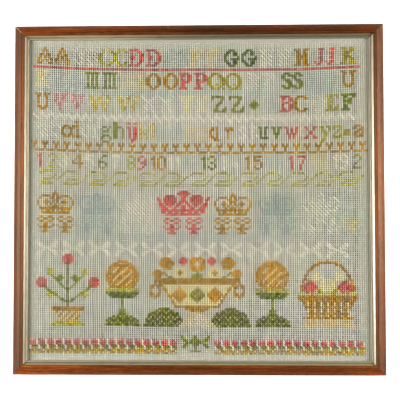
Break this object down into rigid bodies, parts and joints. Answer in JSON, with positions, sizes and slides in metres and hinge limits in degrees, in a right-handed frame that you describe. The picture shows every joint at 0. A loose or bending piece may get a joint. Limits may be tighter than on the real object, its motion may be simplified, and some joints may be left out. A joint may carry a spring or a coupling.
{
  "type": "framed cross stitch sampler in a mitred wooden frame",
  "caption": "Flat stitched cloth with alphabets, bands and motifs, held behind a gilt slip in a thin mitred wooden frame with a plain backing board.",
  "frame": {"origin": "middle of the frame's back, on the plane that it lies on", "axes": "+Z out of the stitched face, +X to the sampler's right side, +Y to its top edge"},
  "size_m": [0.4, 0.378, 0.018],
  "materials": {
    "mahogany": "old polish, satin",
    "gilt": "worn silver gilt leaf",
    "linen": "open even weave, cross stitched in silk",
    "board": "unfinished board"
  },
  "bodies": {
    "root": {"rail_top": "mahogany", "rail_bottom": "mahogany", "rail_left": "mahogany", "rail_right": "mahogany", "slip_top": "gilt", "slip_bottom": "gilt", "slip_left": "gilt", "slip_right": "gilt", "sampler_cloth": "linen", "backing_board": "board"}
  },
  "joints": []
}
